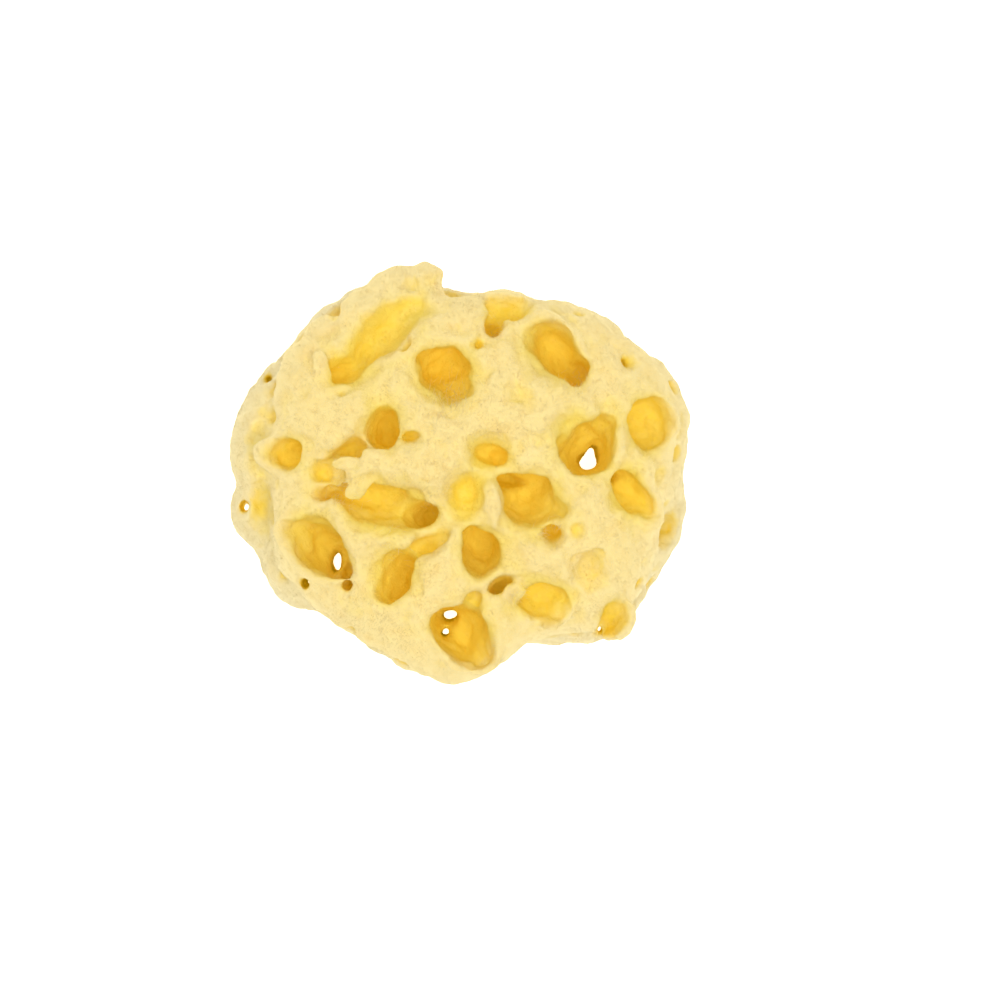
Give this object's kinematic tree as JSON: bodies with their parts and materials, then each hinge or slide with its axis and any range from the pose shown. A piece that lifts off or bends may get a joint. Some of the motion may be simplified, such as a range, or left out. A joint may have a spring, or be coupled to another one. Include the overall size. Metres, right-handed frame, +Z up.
{
  "type": "sea sponge",
  "caption": "Dried natural honeycomb bath sponge, a low lobed dome with wide vents, cut off flat underneath so that it rests on the cut.",
  "frame": {"origin": "middle of the flat cut underneath, below the middle of the sponge's bounding box", "axes": "+X along the longest way of the sponge, +Y towards the small ear on its rim, +Z up out of the cut, through the vented top"},
  "size_m": [0.0896, 0.0822, 0.0435],
  "materials": {
    "sponge": "matt, bleached cream yellow skeleton, golden in the vents, soft and downy to the eye"
  },
  "bodies": {
    "root": {"sponge": "sponge"}
  },
  "joints": []
}
